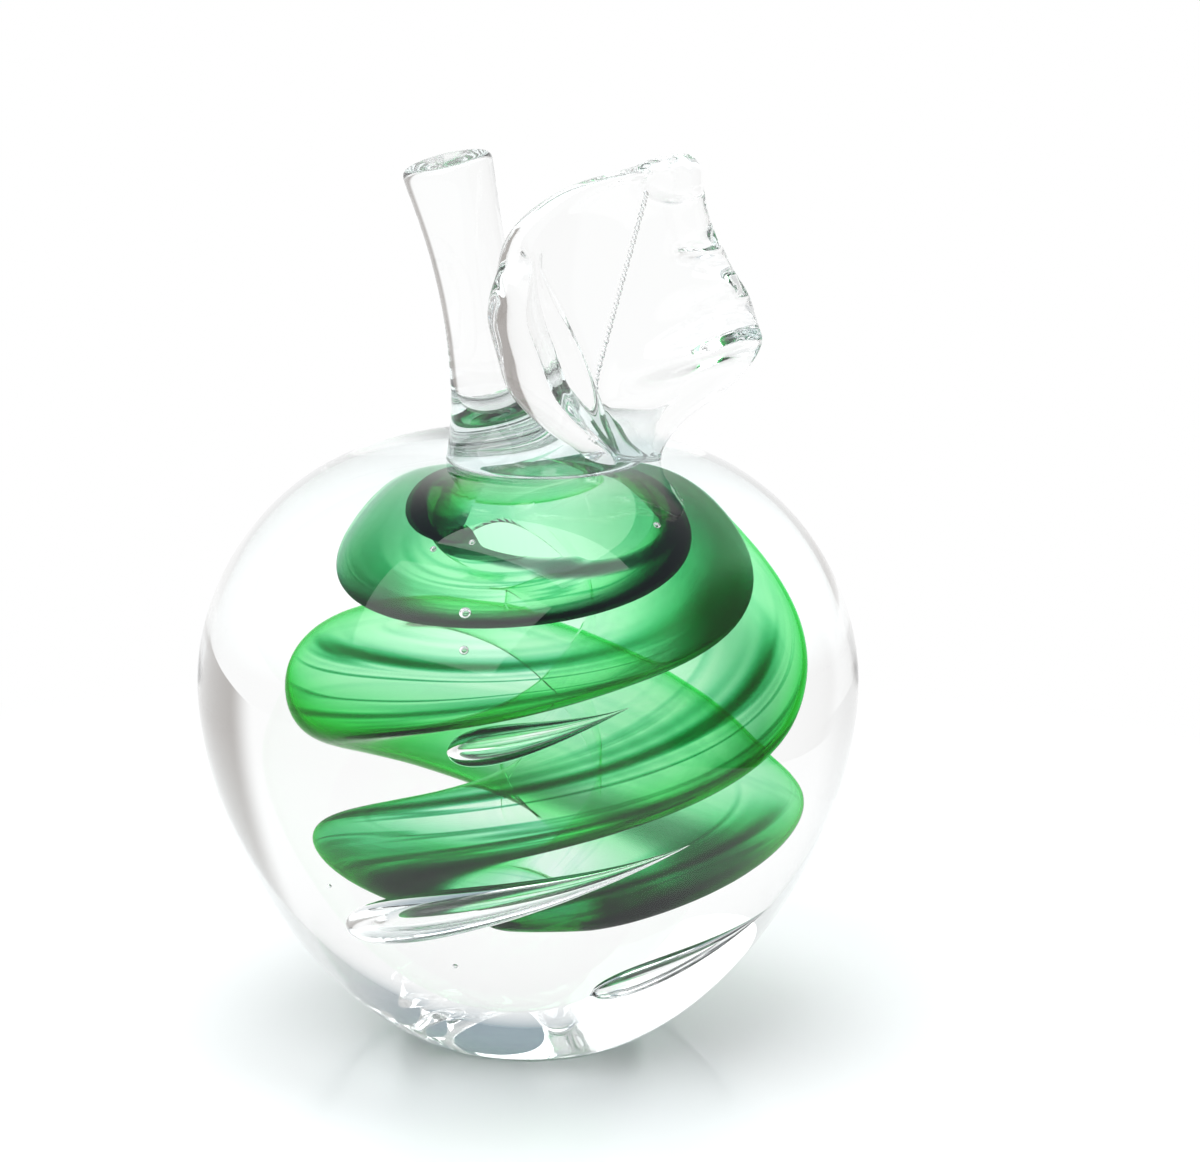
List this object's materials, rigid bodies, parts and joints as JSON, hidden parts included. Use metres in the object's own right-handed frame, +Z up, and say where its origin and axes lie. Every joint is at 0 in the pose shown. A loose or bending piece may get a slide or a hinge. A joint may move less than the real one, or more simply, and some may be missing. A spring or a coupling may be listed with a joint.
{
  "type": "art glass apple",
  "caption": "Solid clear glass apple paperweight with a green twist cased inside, trapped air bubbles, a leaning clear stalk and a pressed clear leaf.",
  "frame": {"origin": "middle of the flat ground base, on the surface it stands on", "axes": "+Z up through the stalk, -Y towards the pictured front, +X to the viewer's right"},
  "size_m": [0.08, 0.08, 0.1083],
  "materials": {
    "clear_glass": "colourless lead-free crystal, fire polished",
    "green_glass": "transparent emerald green overlay"
  },
  "bodies": {
    "root": {"clear_casing": "clear_glass", "green_overlay": "green_glass", "clear_core": "clear_glass", "stem": "clear_glass", "leaf": "clear_glass"}
  },
  "joints": []
}
